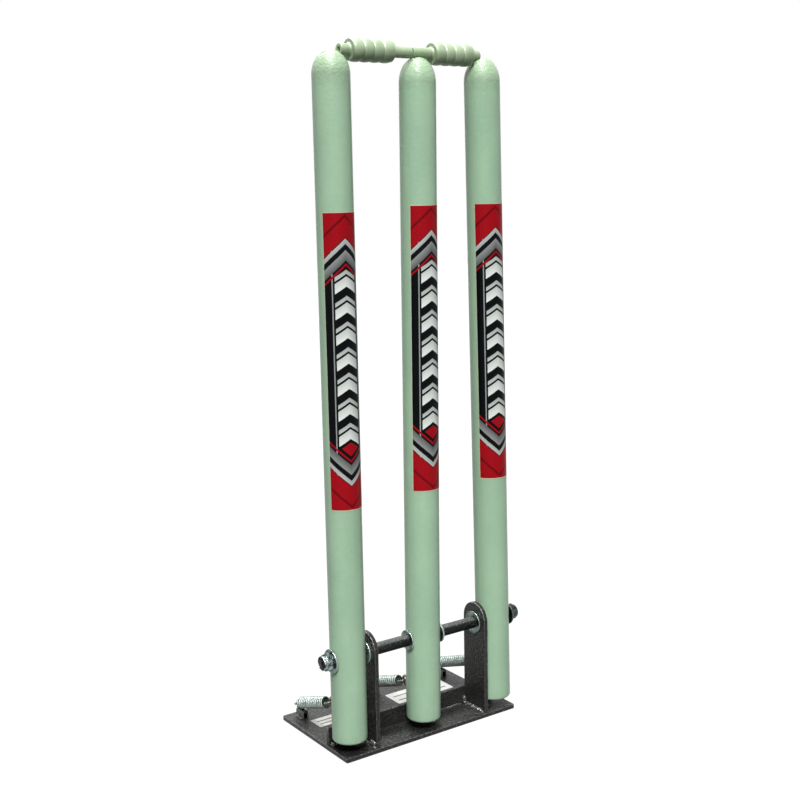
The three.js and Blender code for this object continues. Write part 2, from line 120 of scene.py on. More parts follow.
def light_of(red, green, blue):
    """Linear colour of an sRGB one: c/12.92 low down, ((c + 0.055)/1.055)^2.4 above."""
    c = np.array([red, green, blue]) / 255
    linear = np.where(c <= 0.04045, c / 12.92, ((c + 0.055) / 1.055) ** 2.4)
    return (*linear.tolist(), 1.0)


def fill(socket, value):
    """Links a socket to another node's output, or gives it a number, a vector or a colour."""
    if isinstance(value, bpy.types.NodeSocket):
        socket.id_data.links.new(value, socket)
    else:
        socket.default_value = light_of(*value) if socket.type == "RGBA" else value


def add_node(tree, kind, sockets=None, **settings):
    """One new shader node, with its own properties set and its sockets filled."""
    made = tree.nodes.new("ShaderNode" + kind)
    for name, value in settings.items():
        setattr(made, name, value)
    for name, value in (sockets or {}).items():
        fill(made.inputs[name], value)
    return made


def combined(operation, first, second=0.0):
    """One operation on two numbers, of which at least one is a node's output."""
    tree = (first if isinstance(first, bpy.types.NodeSocket) else second).id_data
    return add_node(tree, "Math", {0: first, 1: second}, operation=operation).outputs[0]


def times(first, second):
    """first · second"""
    return combined("MULTIPLY", first, second)


def plus(first, second):
    """first + second"""
    return combined("ADD", first, second)


def minus(first, second):
    """first - second"""
    return combined("SUBTRACT", first, second)


# %% [markdown]
# ## Studio
#
# The background is plain white and so is the floor, which still takes a faint shadow. White
# comes from what the camera sees, not from more light on the object: a Light Path node tells
# camera, mirror and glass rays from the rays that light the object. The main soft light
# stands in front at a slant, near the camera's own direction. Two more, overhead and low in
# front, give each dome its small glints, and one behind keeps the back from going dark.

# %% World and floor
pure_white = (255, 255, 255)
world_glow, floor_glow, floor_grey = 0.04, 0.93, (66, 66, 66)
floor_reach, floor_level = 6.0, -0.0004


def empty_tree(owner):
    """The node tree of a world or a material, with nothing in it."""
    owner.use_nodes = True
    owner.node_tree.nodes.clear()
    return owner.node_tree


def seen_directly(tree):
    """1 for camera, glossy and transmission rays, and 0 for the rays that carry light."""
    path = add_node(tree, "LightPath").outputs
    mirrored = plus(path["Is Glossy Ray"], path["Is Transmission Ray"])
    return combined("MINIMUM", plus(path["Is Camera Ray"], mirrored), 1.0)


world = bpy.data.worlds.new("white_studio")
tree = empty_tree(world)
dim = add_node(tree, "Background", {"Color": pure_white, "Strength": world_glow}).outputs[0]
white = add_node(tree, "Background", {"Color": pure_white, "Strength": 1.0}).outputs[0]
choice = add_node(tree, "MixShader", {0: seen_directly(tree), 1: dim, 2: white})
add_node(tree, "OutputWorld", {"Surface": choice.outputs[0]})
bpy.context.scene.world = world

floor_mesh = bpy.data.meshes.new("studio_floor")
square = [(x * floor_reach, y * floor_reach, floor_level) for x, y in ((-1, -1), (1, -1), (1, 1), (-1, 1))]
floor_mesh.from_pydata(square, [], [(0, 1, 2, 3)])
floor = new_object("studio_floor", floor_mesh)
pale_floor = bpy.data.materials.new("pale_floor")
tree = empty_tree(pale_floor)
matt = add_node(tree, "BsdfDiffuse", {"Color": floor_grey}).outputs[0]
shine = times(seen_directly(tree), floor_glow)
glow = add_node(tree, "Emission", {"Color": pure_white, "Strength": shine}).outputs[0]
both = add_node(tree, "AddShader", {0: matt, 1: glow})
add_node(tree, "OutputMaterial", {"Surface": both.outputs[0]})
floor_mesh.materials.append(pale_floor)

# %% Lamps


def soft_light(name, azimuth, elevation, width, strength):
    """Even light from one direction. width is how wide its source looks, in degrees, and a
    strength of pi lights a wall that faces it so that its colour renders as written."""
    lamp = bpy.data.lights.new(name, "SUN")
    lamp.angle = np.radians(width)
    lamp.energy = strength
    holder = new_object(name, lamp)
    towards = Vector(direction_to(*np.radians([azimuth, elevation])))
    holder.location = Vector((0, 0, 0.36)) + towards * 2
    holder.rotation_mode = "QUATERNION"
    holder.rotation_quaternion = towards.to_track_quat("Z", "Y")


soft_light("slanted_front_light", -33, 50, 20, 3.85)
soft_light("overhead_light", -40, 86, 10, 4.0)
soft_light("low_front_light", -33, 14, 7, 0.4)
soft_light("back_light", 165, 52, 30, 1.9)

# %% [markdown]
# ## Surfaces from formulas
#
# Every new piece is a set of patches, each a grid of points from a formula on whole arrays: a
# profile carried round an axis, an outline carried through a plate's thickness, or a round
# section carried along a wire. Where patches meet, their edge points coincide, so joining
# doubles closes the skin.

# %% Patches into pieces


def new_piece(name, patches, finish, body, stands_for=(), sharp=38.0, flats=False):
    """Joins patches of points in millimetres into one closed mesh that moves with a body."""
    corners, faces, start = [], [], 0
    for grid in patches:
        rows, columns = grid.shape[:2]
        first = start + np.arange(rows - 1)[:, None] * columns + np.arange(columns - 1)
        around = [first, first + 1, first + columns + 1, first + columns]
        faces.append(np.stack(around, -1).reshape(-1, 4))
        corners.append(grid.reshape(-1, 3))
        start += rows * columns
    mesh = bpy.data.meshes.new(name)
    mesh.from_pydata((np.concatenate(corners) / 1000).tolist(), [], np.concatenate(faces).tolist())
    work = bmesh.new()
    work.from_mesh(mesh)
    bmesh.ops.remove_doubles(work, verts=work.verts, dist=2e-6)
    bmesh.ops.recalc_face_normals(work, faces=work.faces)
    work.to_mesh(mesh)
    work.free()
    mesh.shade_smooth()
    mesh.set_sharp_from_angle(angle=np.radians(sharp))
    mesh.materials.append(finish)
    piece = new_object(name, mesh)
    if flats:
        keep_flats(piece)
    if body:
        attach(piece, body)
    if stands_for:
        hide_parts(*stands_for)
    return piece


def keep_flats(piece):
    """Turns the shading normals to the large faces, so that rounded rims don't bend them."""
    piece.modifiers.new("flat_faces_stay_flat", "WEIGHTED_NORMAL").keep_sharp = True


def points_of(piece):
    """A piece's mesh points in millimetres, one row each."""
    points = np.empty(len(piece.data.vertices) * 3, np.float32)
    piece.data.vertices.foreach_get("co", points)
    return points.reshape(-1, 3) * 1000


def store(piece, name, values):
    """One number for each mesh point, which a material can read by its name."""
    values = values.astype(np.float32)
    piece.data.attributes.new(name, "FLOAT", "POINT").data.foreach_set("value", values)


# %% Profiles


def softened(profile, closed=True):
    """Rounds a profile's corners. Each row is two coordinates and a rounding length, and the
    corner c becomes the parabola (1-t)^2 a + 2t(1-t) c + t^2 b between points a and b that
    lie the rounding length away along its two sides."""
    table = np.array(profile, float)
    corner, rounding = table[:, :2], table[:, 2:]
    before, after = np.roll(corner, 1, 0), np.roll(corner, -1, 0)
    if not closed:
        before[0], after[-1] = corner[0], corner[-1]

    def toward(other):
        gap = other - corner
        length = np.maximum(np.linalg.norm(gap, axis=1, keepdims=True), 1e-9)
        return corner + gap * np.minimum(rounding / length, 0.5)

    t = np.linspace(0, 1, 5)[None, :, None]
    a, b = toward(before)[:, None], toward(after)[:, None]
    curve = ((1 - t) ** 2 * a + 2 * t * (1 - t) * corner[:, None] + t ** 2 * b).reshape(-1, 2)
    return np.concatenate([curve, curve[:1]]) if closed else curve


def turned(profile, centre, axis, sides=64, limit=None):
    """A profile of (along, radius) carried round an axis: centre + along·axis + radius·(cos a,
    sin a) across it. limit(angle) cuts the radius down, as the flats of a hexagon do."""
    along, radius = np.asarray(profile, float).T
    angle = np.linspace(0, 2 * np.pi, sides + 1)
    radii = np.repeat(radius[:, None], sides + 1, 1)
    if limit is not None:
        radii = np.minimum(radii, limit(angle)[None, :])
    across = [radii * np.cos(angle), radii * np.sin(angle)]
    length = np.repeat(along[:, None], sides + 1, 1)
    order = {"x": [length, *across], "-x": [-length, *across]}[axis]
    return np.stack(order, -1) + np.array(centre, float)


# %% [markdown]
# ## Sizes that the pieces share
#
# Millimetres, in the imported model's frame: +Z up, +X across the wicket, +Y away from the
# bowler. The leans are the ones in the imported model, where each stump hangs a little
# crooked on its axle.

# %% Shared sizes
stump_radius = 18.6
stump_x = {"left": -95.7, "centre": 0.0, "right": 95.7}
stump_lean = {"left": np.radians(-0.04), "centre": np.radians(0.48), "right": np.radians(-0.88)}
stump_top = {"left": 711.0, "centre": 708.4, "right": 711.0}
foot_z = {"left": 16.2, "centre": 14.3, "right": 14.2}
axle_y, axle_z, axle_radius = -47.5, 106.2, 5.0
bail_z = 711.75
base_top = 5.0
ends = {"left": (-1, "-x"), "right": (1, "x")}


def hung(points, word):
    """Points drawn about a stump's own axle, turned by its lean about Y and moved to its place."""
    c, s = np.cos(stump_lean[word]), np.sin(stump_lean[word])
    x, y, z = np.moveaxis(points, -1, 0)
    moved = np.stack([x * c + z * s, y, z * c - x * s], -1)
    return moved + np.array([stump_x[word], axle_y, axle_z])


for word in stump_x:
    low, high = np.array(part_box(f"stump_{word}")) * 1000
    print(f"stump_{word}: from {low.round(1)} to {high.round(1)}")

# %% [markdown]
# ## Paint on the stumps
#
# Pale green gloss paint, brushed or dipped over turned softwood. Close up, such paint shows the grain under
# it as faint upright ridges, an orange-peel ripple, slight clouds where the coat is thinner, and now and then
# a speck of dust. On the dome the end grain drinks the paint unevenly, and the last thick coat gathers there,
# so the ripple is stronger and breaks up the glints. Towards the dome the paint is also made darker, a
# painted shade against the stronger light from above, and yellower. All of these come from noise on Object
# coordinates, so nothing slides when the stump moves.

# %% Helpers for finishes


def give(shader, **sockets):
    """Fills a shader's sockets by name. Underscores stand for the spaces."""
    for name, value in sockets.items():
        fill(shader.inputs[name.replace("_", " ")], value)


def new_finish(name, **constants):
    """A material with its tree and its Principled shader."""
    finish = bpy.data.materials.new(name)
    finish.use_nodes = True
    shader = finish.node_tree.nodes["Principled BSDF"]
    give(shader, **constants)
    return finish, finish.node_tree, shader


def place_in(tree, space="Object"):
    """Where a point lies in the piece's own space, or on its UV map."""
    return add_node(tree, "TexCoord").outputs[space]


def coordinates(tree, space="Object"):
    """The same as separate numbers."""
    return add_node(tree, "SeparateXYZ", {0: place_in(tree, space)}).outputs


def object_noise(tree, scale, stretch=(1, 1, 1), detail=2.0, roughness=0.5):
    """Noise in the piece's own space, squeezed along each axis by stretch."""
    squeezed = add_node(tree, "Mapping", {"Vector": place_in(tree), "Scale": stretch}).outputs[0]
    sockets = {"Vector": squeezed, "Scale": scale, "Detail": detail, "Roughness": roughness}
    return add_node(tree, "TexNoise", sockets).outputs["Fac"]


def spread(value, low, high, new_low=0.0, new_high=1.0):
    """Moves the range low..high of a value to new_low..new_high, and stops at its ends."""
    sockets = {"Value": value, "From Min": low, "From Max": high, "To Min": new_low, "To Max": new_high}
    return add_node(value.id_data, "MapRange", sockets).outputs[0]


def mixed(factor, first, second):
    """A colour between two others."""
    sockets = {0: factor, 6: first, 7: second}
    return add_node(factor.id_data, "Mix", sockets, data_type="RGBA").outputs[2]


def add_bump(shader, height, depth):
    """A bump of that depth in metres, on the surface and on its clear coat."""
    bump = add_node(shader.id_data, "Bump", {"Height": height, "Distance": depth}).outputs[0]
    give(shader, Normal=bump, Coat_Normal=bump)


# %% Stump paint
dome_from, dome_to = 0.676, 0.706
stump_paint, tree, shader = new_finish("pale_green_paint", IOR=1.46, Specular_IOR_Level=0.15,
                                       Coat_Roughness=0.4)
clouds = object_noise(tree, 34.0, (1, 1, 0.5), detail=3.0)
blotches = object_noise(tree, 170.0, roughness=0.6)
grain = object_noise(tree, 520.0, (1, 1, 0.04), detail=3.0, roughness=0.6)
peel = object_noise(tree, 300.0, detail=1.0)
specks = object_noise(tree, 300.0, detail=0.0)
rough_end = spread(coordinates(tree)["Z"], dome_from, dome_to)
value = times(spread(grain, 0.3, 0.7, 0.99, 1.008), spread(blotches, 0.3, 0.7, 0.982, 1.012))
value = times(value, spread(specks, 0.87, 0.9, 1.0, 0.8))
# Towards the dome the paint is made darker, a painted shade against the stronger light on top, and yellower.
value = times(value, spread(rough_end, 0, 1, 1.0, 0.83))
shade = mixed(spread(clouds, 0.35, 0.65), (150, 181, 153), (158, 189, 160))
shade = mixed(times(rough_end, 0.9), shade, (158, 182, 148))
shade = add_node(tree, "HueSaturation", {"Value": value, "Color": shade}).outputs[0]
gloss = spread(peel, 0.3, 0.7, 0.18, 0.28)
give(shader, Base_Color=shade, Roughness=gloss, Coat_Weight=times(rough_end, 0.8))
fine = times(object_noise(tree, 700.0, detail=1.0), spread(rough_end, 0, 1, 0, 1.8))
ripple = plus(times(peel, spread(rough_end, 0, 1, 0.45, 2.0)), fine)
add_bump(shader, plus(times(grain, 0.25), ripple), 0.0003)

# %% [markdown]
# ## Stumps
#
# A stump is turned wood: a straight shaft with a rounded foot and a domed top. Two things
# break its symmetry, the hole for the axle and the notch that the bails lie in. A boolean
# would leave ragged long faces round them, so each gets its own patch. The hole's patch
# runs from a rectangle of the shaft's own grid points inwards to the circle. The top's patch
# is ruled across, with lines bent to follow the notch's lens-shaped edge.

# %% Shaft and foot
stump_sides = 128
foot_round = 3.0
hole_window, window_columns = 9.0, 10
window_rows = np.linspace(-hole_window, hole_window, 11)
turn = np.linspace(0, 2 * np.pi, stump_sides + 1)


def ring_rows(radius, height, angles=turn):
    """Points (r cos a, r sin a, h) for arrays of radii and heights."""
    radius, height = np.broadcast_arrays(np.atleast_1d(radius), np.atleast_1d(height))
    across = radius[:, None] * np.stack([np.cos(angles), np.sin(angles)])[:, None]
    return np.stack([*across, np.repeat(height[:, None], len(angles), 1)], -1)


def shaft_patches(foot_height, dome_base):
    """Underside, rounded foot edge, and the shaft below, beside and above the axle hole."""
    quarter = np.linspace(-np.pi / 2, 0, 9)
    inner = stump_radius - foot_round
    flat = ring_rows([0, 5, 10, 13, inner], foot_height)
    edge = ring_rows(inner + foot_round * np.cos(quarter), foot_height + foot_round * (1 + np.sin(quarter)))
    below = ring_rows(stump_radius, np.linspace(foot_height + foot_round, -hole_window, 9))
    above = ring_rows(stump_radius, np.linspace(hole_window, dome_base, 25))
    half = stump_sides // 2
    sides = [ring_rows(stump_radius, window_rows, turn[first:first + half - 2 * window_columns + 1])
             for first in (window_columns, window_columns + half)]
    return [flat, edge, below, above, *sides]


def hole_patches(bore):
    """From the window's edge to the bore on both sides, and the bore between them."""
    t = turn[:window_columns + 1]
    columns = np.concatenate([-t[:0:-1], t])
    right, left = np.full_like(window_rows, columns[-1]), np.full_like(window_rows, columns[0])
    low, high = np.full_like(columns, -hole_window), np.full_like(columns, hole_window)
    angles = np.concatenate([columns, right, columns[::-1], left])
    z = np.concatenate([low, window_rows, high, window_rows[::-1]])
    y = stump_radius * np.sin(angles)
    polar = np.arctan2(z, y)
    share = np.linspace(0, 1, 6)[:, None]
    ys = (1 - share) * y + share * bore * np.cos(polar)
    zs = (1 - share) * z + share * bore * np.sin(polar)
    xs = np.sqrt(stump_radius ** 2 - ys ** 2)
    way = np.linspace(1, -1, 9)[:, None]
    wall = np.stack([way * xs[-1], np.repeat(ys[-1:], 9, 0), np.repeat(zs[-1:], 9, 0)], -1)
    return [np.stack([xs, ys, zs], -1), np.stack([-xs, ys, zs], -1), wall]


# %% Domed top with its notch
dome_height = {"left": 22.8, "centre": 25.0, "right": 24.5}
cap_radius = 13.6
notch_radius, notch_z = 6.0, bail_z - axle_z


def top_patches(lean, height, dome_base):
    """The dome up to the cap's circle, and the cap across it. The dome is half an ellipsoid, z =
    b + h·sqrt(1 - (x^2 + y^2) / R^2), and the notch is z = n + x tan(lean) - sqrt(r^2 - y^2). The
    notch's edge is the y where both agree, found by halving a span 24 times."""
    rise = np.linspace(0, np.arccos(cap_radius / stump_radius), 17)
    dome = ring_rows(stump_radius * np.cos(rise), dome_base + height * np.sin(rise))
    half_turn = turn[:stump_sides // 2 + 1]
    x = cap_radius * np.cos(half_turn)
    outer = cap_radius * np.sin(half_turn)
    over = notch_z / np.cos(lean) + x * np.tan(lean)
    dome_at = lambda y: dome_base + height * np.sqrt(1 - (x ** 2 + y ** 2) / stump_radius ** 2)
    notch_at = lambda y: over - np.sqrt(notch_radius ** 2 - y ** 2)
    edge, beyond = np.zeros_like(x), np.full_like(x, notch_radius)
    for _ in range(24):
        middle = (edge + beyond) / 2
        cut = dome_at(middle) > notch_at(middle)
        edge, beyond = np.where(cut, middle, edge), np.where(cut, beyond, middle)
    edge = np.minimum(edge, outer)
    band = np.linspace(0, 1, 8)[:, None]
    inner = np.linspace(-1, 1, 15)[:, None] * edge
    far = edge + (outer - edge) * band
    across = lambda y, z: np.stack([np.broadcast_to(x, y.shape), y, z], -1)
    floor_at = np.minimum(notch_at(inner), dome_at(inner))
    return [dome, across(-far, dome_at(far)), across(far, dome_at(far)), across(inner, floor_at)]


# %% Make the three stumps
bore_radius = axle_radius + 0.75
for word in stump_x:
    dome_base = stump_top[word] - dome_height[word] - axle_z
    patches = (shaft_patches(foot_z[word] - axle_z, dome_base) + hole_patches(bore_radius)
               + top_patches(stump_lean[word], dome_height[word], dome_base))
    stump = new_piece(f"turned_stump_{word}", [hung(p, word) for p in patches], stump_paint,
                      f"stump_{word}", [f"stump_{word}"])
    print(stump.name, "has", len(stump.data.vertices), "points")

# %% [markdown]
# ## Printed decals
#
# A long vinyl print is wrapped round the front of each stump. It is its own thin sheet, a
# tenth of a millimetre thick, so its edge catches light as real vinyl does. The print is
# drawn in millimetres from the sheet's own UV map: a black ground in a slim cream margin, red
# ends and silver bands cut to a chevron, and pale arrowheads between two silver lines.

# %% Print on the vinyl
decal_height = 293.4
decal_middle = {"left": 412.6, "centre": 416.7, "right": 416.1}
decal_half_angle = np.radians(70)
decal_turn = {"left": np.radians(-3), "centre": np.radians(6), "right": np.radians(-2)}
decal_width = 2 * decal_half_angle * stump_radius
arrow_pitch, arrow_start, arrow_end = 25.0, 72.3, 239.0


def between(value, low, high, soft=0.12):
    """1 where the value lies between two limits, with edges soft millimetres wide."""
    return times(spread(value, low - soft, low + soft), spread(value, high - soft, high + soft, 1, 0))


vinyl, tree, shader = new_finish("printed_vinyl", Roughness=0.32, Specular_IOR_Level=0.05)
uv = coordinates(tree, "UV")
side = combined("ABSOLUTE", times(minus(uv[0], 0.5), decal_width))
height = times(uv[1], decal_height)
from_end = combined("MINIMUM", height, minus(decal_height, height))
from_edge = combined("MINIMUM", from_end, minus(decal_width / 2, side))
chevron = minus(from_end, times(side, 0.9))
slope = plus(height, times(side, 0.62))
beat = combined("FLOORED_MODULO", minus(slope, arrow_start), arrow_pitch)
arrows = plus(between(beat, 0.2, 10.0), between(beat, 12.4, 16.4))
arrows = times(times(arrows, between(side, -1.0, 11.6)), between(slope, arrow_start - 0.1, arrow_end))
gem = times(between(chevron, 55.0, 400.0), between(slope, 0.0, 69.0))
wear = object_noise(tree, 900.0)
black, silver, red = (9, 10, 12), (140, 145, 143), (152, 15, 25)
# The arrowheads grade from pale to grey across each mark: painted shade.
pale_to_painted_shade = mixed(spread(beat, 0.0, 16.0), (222, 227, 222), (170, 176, 172))
grey_band = mixed(spread(chevron, 25.0, 46.0), (178, 182, 179), (84, 88, 87))
colour = mixed(spread(wear, 0.3, 0.7), (5, 6, 8), black)
for where, shade in (
        (arrows, pale_to_painted_shade), (gem, red), (between(side, 13.4, 14.6), silver),
        (between(chevron, -60.0, 24.0), red), (between(chevron, 25.0, 46.0), grey_band),
        (between(chevron, 30.0, 36.0), black), (between(chevron, 48.5, 51.0), red),
        (between(chevron, 2.0, 5.0), (104, 10, 18)), (between(from_edge, -5.0, 0.55), (196, 198, 172))):
    colour = mixed(where, colour, shade)
give(shader, Base_Color=colour)
add_bump(shader, wear, 0.00002)

# %% Wrap the sheets round the stumps
decal_lift, decal_thickness = 0.13, 0.1
for word in stump_x:
    angle = np.linspace(-decal_half_angle, decal_half_angle, 73) + decal_turn[word]
    decal_low = decal_middle[word] - decal_height / 2
    rows = decal_low - axle_z + decal_height * np.linspace(0, 1, 9)
    radius = stump_radius + decal_lift
    sheet = np.stack(np.broadcast_arrays(radius * np.sin(angle), -radius * np.cos(angle), rows[:, None]), -1)
    decal = new_piece(f"decal_{word}", [hung(sheet, word)], vinyl, f"stump_{word}")
    if sum(p.normal.y for p in decal.data.polygons) > 0:
        decal.data.flip_normals()
    x, y, z = points_of(decal).T
    shift = np.tan(stump_lean[word]) * (z - axle_z)
    around = np.arctan2(x - stump_x[word] - shift, axle_y - y) - decal_turn[word]
    place = np.stack([0.5 + around / (2 * decal_half_angle), (z - decal_low) / decal_height], -1)
    corner = np.empty(len(decal.data.loops), np.int32)
    decal.data.loops.foreach_get("vertex_index", corner)
    uv_map = decal.data.uv_layers.new(name="sheet")
    uv_map.data.foreach_set("uv", place[corner].astype(np.float32).ravel())
    thick = decal.modifiers.new("vinyl_thickness", "SOLIDIFY")
    thick.thickness, thick.offset = decal_thickness / 1000, -1
    keep_flats(decal)
    print(decal.name, "is", round(decal_width, 1), "by", decal_height, "mm")

# %% [markdown]
# ## Hammered enamel
#
# The base and its uprights carry charcoal hammered enamel, a paint that shrinks into small
# round cells as it dries. The cells are a smooth Voronoi pattern about two millimetres
# across. Their floors are darker and their rims brighter, and the same pattern drives the
# bump, which breaks reflections into the sparkle that this paint is known for.

# %% Enamel recipe
upper_highlight_grey = (86, 89, 87)


def hammered(name, dark, light, fleck, scale, depth, gloss="rims", **constants):
    """Charcoal enamel whose cells come from smooth Voronoi distance plus a little noise. Its clear gloss has
    gathered on the rounded rims, which are also painted paler, partly as steel shining through the thin coat
    and partly as painted highlight. Or the gloss lies in spots on a tube's upper side, which are painted pale
    grey as a painted highlight, or it is the same all over."""
    settings = {"Metallic": 0.2, "IOR": 1.5, "Specular_IOR_Level": 0.15, "Coat_Roughness": 0.2, **constants}
    finish, tree, shader = new_finish(name, **settings)
    sockets = {"Vector": place_in(tree), "Scale": scale, "Smoothness": 0.6}
    cells = add_node(tree, "TexVoronoi", sockets, feature="SMOOTH_F1").outputs["Distance"]
    grit = object_noise(tree, scale * 1.7, roughness=0.65)
    patches = object_noise(tree, 24.0, detail=3.0)
    mix = plus(times(spread(cells, 0.1, 0.6), 0.5), times(spread(grit, 0.35, 0.7), 0.5))
    colour = mixed(times(mix, spread(patches, 0.3, 0.7, 0.6, 1.25)), dark, light)
    colour = mixed(spread(grit, 0.62, 0.72), colour, fleck)
    if gloss == "rims":
        gathered = add_node(tree, "Attribute", attribute_name="rim").outputs["Fac"]
        give(shader, Coat_Weight=gathered)
        # The rims are also painted paler with flecks: partly steel worn through the thin coat, partly a
        # painted highlight.
        colour = mixed(times(gathered, spread(grit, 0.48, 0.62, 0, 0.7)), colour, fleck)
    # On a tube's upper side the spots are painted pale grey: a painted highlight.
    if gloss == "upper side":
        upper = spread(coordinates(tree)["Z"], axle_z / 1000 + 0.0034, axle_z / 1000 + 0.0048)
        spots = times(upper, spread(grit, 0.4, 0.6, 0.3, 1))
        give(shader, Coat_Weight=times(spots, 0.5))
        colour = mixed(spots, colour, upper_highlight_grey)
    give(shader, Base_Color=colour, Roughness=spread(grit, 0.3, 0.7, 0.24, 0.42))
    add_bump(shader, plus(cells, times(grit, 0.5)), depth)
    return finish


enamel = hammered("hammered_enamel", (13, 13, 13), (54, 55, 53), (110, 112, 107), 430.0, 0.0005)
# The lugs take a lighter copy of the frame's enamel: painted light on their faces.
lit_lug_enamel = hammered("lit_lug_enamel", (52, 54, 52), (118, 121, 117), (176, 178, 172), 430.0, 0.0004, None,
                      Coat_Weight=0.1)


def enamelled(node, patches, finish=enamel):
    """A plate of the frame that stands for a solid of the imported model."""
    return new_piece(f"{node}_enamelled", patches, finish, "frame", [node], flats=True)


def mark_rims(piece, axis, edge, both=True, highlight_above=None):
    """Gives each point 4·a·(1 - a), where a is its depth under the upper or nearer face as a share
    of the rim's rounding. That is 0 on the faces and on the flat of the edge, and 1 on the rim.
    Above a given height the rim gets more gloss and more painted highlight, and below it less."""
    points = points_of(piece)
    level = points[:, axis]
    below = level.max() - level
    depth = np.clip((np.minimum(level - level.min(), below) if both else below) / edge, 0, 1)
    wear = 4 * depth * (1 - depth)
    if highlight_above is not None:
        # Rims above the given height are marked more: painted highlight where more light falls.
        wear *= np.interp(points[:, 2], [highlight_above - 6, highlight_above + 6], [0.4, 1.5])
    store(piece, "rim", wear)


# %% [markdown]
# ## Plates
#
# The base, the uprights, the stop bar and the spring lugs are all flat plate with broken
# edges. One formula makes them: the outline is drawn once, then carried through the
# thickness, moved in by edge·(1 - sin t) and up by edge·(1 - cos t) as t goes through a
# quarter turn, which rounds both rims. A plate with a hole ends on the hole's circle instead
# of a middle point.

# %% Rows round a plate


def plate_rows(outline, low, high, edge, middle, bore=0.0, steps=4):
    """Grid of (p, q, thickness) points. The outline runs anticlockwise and closes on itself, and
    the faces end on a point or on a bore."""
    loop = outline[:-1]
    tangent = np.roll(loop, -1, 0) - np.roll(loop, 1, 0)
    outward = unit(np.stack([tangent[:, 1], -tangent[:, 0]], -1))
    outward = np.concatenate([outward, outward[:1]])
    t = np.linspace(0, np.pi / 2, steps + 1)
    inset = np.concatenate([edge * (1 - np.sin(t)), edge * (1 - np.sin(t[::-1]))])
    level = np.concatenate([low + edge * (1 - np.cos(t)), high - edge * (1 - np.cos(t[::-1]))])
    rows = outline[None] - outward[None] * inset[:, None, None]
    grid = np.concatenate([rows, np.broadcast_to(level[:, None, None], (*rows.shape[:2], 1))], -1)
    inner = np.array(middle) + bore * unit(outline - np.array(middle))
    bottom, top = (np.insert(inner, 2, at, axis=1)[None] for at in (low, high))
    return np.concatenate([bottom, grid, top, bottom] if bore else [bottom, grid, top])


def standing(grid, x):
    """p, q and thickness as Y, Z and X, from a given X."""
    return np.stack([x + grid[..., 2], grid[..., 0], grid[..., 1]], -1)


def rectangle(x0, x1, y0, y1, rounding):
    """A rectangle's outline with rounded corners."""
    return softened([[x, y, rounding] for x, y in ((x0, y0), (x1, y0), (x1, y1), (x0, y1))])


# %% Base plate
base_half_width, base_half_depth, base_edge = 112.0, 66.5, 0.8
outline = rectangle(-base_half_width, base_half_width, -base_half_depth, base_half_depth, 2.2)
base = enamelled("base_plate", [plate_rows(outline, 0, base_top, base_edge, middle=(0, 0))])
mark_rims(base, 2, base_edge)
print(base.name, [round(1000 * d, 1) for d in base.dimensions])

# %% Uprights
upright_half, upright_thick, upright_edge = 18.5, 5.0, 0.9
upright_inner, upright_outer = 69.5, 74.5
crown_z = axle_z + 22.3 - upright_half
front_y, back_y = axle_y - upright_half, axle_y + upright_half
arc = np.linspace(0, np.pi, 41)
crown = np.stack([axle_y + upright_half * np.cos(arc), crown_z + upright_half * np.sin(arc)], -1)
shank = [(front_y, crown_z), (front_y, base_top), (back_y, base_top), (back_y, crown_z)]
outline = np.concatenate([crown, *(np.linspace(a, b, 9)[1:] for a, b in zip(shank, shank[1:]))])
axle_hole = axle_radius + 0.3
for word, x in (("left", -upright_outer), ("right", upright_inner)):
    grid = plate_rows(outline, 0, upright_thick, upright_edge, (axle_y, axle_z), axle_hole, steps=6)
    upright = enamelled(f"upright_{word}", [standing(grid, x)])
    mark_rims(upright, 0, upright_edge, highlight_above=axle_z + 4)

# %% Stop bar
bar_front, bar_back, bar_top, bar_rim = -28.6, -23.6, 25.0, 0.9
bar_half_length = 110.0
outline = softened([[bar_front, base_top, 0.3], [bar_back, base_top, 0.3], [bar_back, bar_top, bar_rim],
                    [bar_front, bar_top, bar_rim]])
grid = plate_rows(outline, 0, 2 * bar_half_length, 0.5, middle=(-26.1, 15))
bar = enamelled("stop_bar", [standing(grid, -bar_half_length)])
mark_rims(bar, 2, bar_rim, both=False)

# %% Spring lugs
lug_back, lug_top, lug_foot_top = 58.0, base_top + 16.5, base_top + 8.5
lug_front, finger_front, barb = lug_back - 14, lug_back - 4, lug_back + 0.9
finger_thick, foot_thick = 5.0, 7.4
finger_outline = softened([
    [lug_front, base_top, 0.2], [lug_back, base_top, 0.2], [lug_back, lug_top - 2.1, 0.3],
    [barb, lug_top - 1.3, 0.3], [barb, lug_top - 0.7, 0.3], [lug_back, lug_top, 0.5],
    [finger_front, lug_top, 0.6], [finger_front, lug_foot_top, 2.2], [lug_front, lug_foot_top, 2.0],
])
foot_outline = softened([[lug_front, base_top, 0.2], [lug_back, base_top, 0.2],
                         [lug_back, lug_foot_top, 0.8], [lug_front, lug_foot_top, 2.0]])
finger = plate_rows(finger_outline, 0, finger_thick, 0.4, middle=(lug_back - 2.5, base_top + 6))
foot = plate_rows(foot_outline, 0, foot_thick, 0.5, middle=(lug_back - 7, base_top + 4))
for word, x in stump_x.items():
    patches = [standing(finger, x - finger_thick / 2), standing(foot, x - foot_thick / 2)]
    enamelled(f"spring_lug_{word}", patches, lit_lug_enamel)

# %% [markdown]
# ## Welds
#
# The uprights, the bar and the lugs are welded to the base, and the enamel runs over the
# beads. A bead is a half-sunk rope of overlapping puddles: a circle carried along the corner,
# whose radius rises and falls with each puddle and fades out at both ends.

# %% Weld beads
weld_enamel = hammered("enamel_over_weld", (18, 18, 18), (70, 69, 65), (170, 166, 158), 420.0, 0.0006, None,
                       Coat_Weight=1.0, Coat_Roughness=0.14)


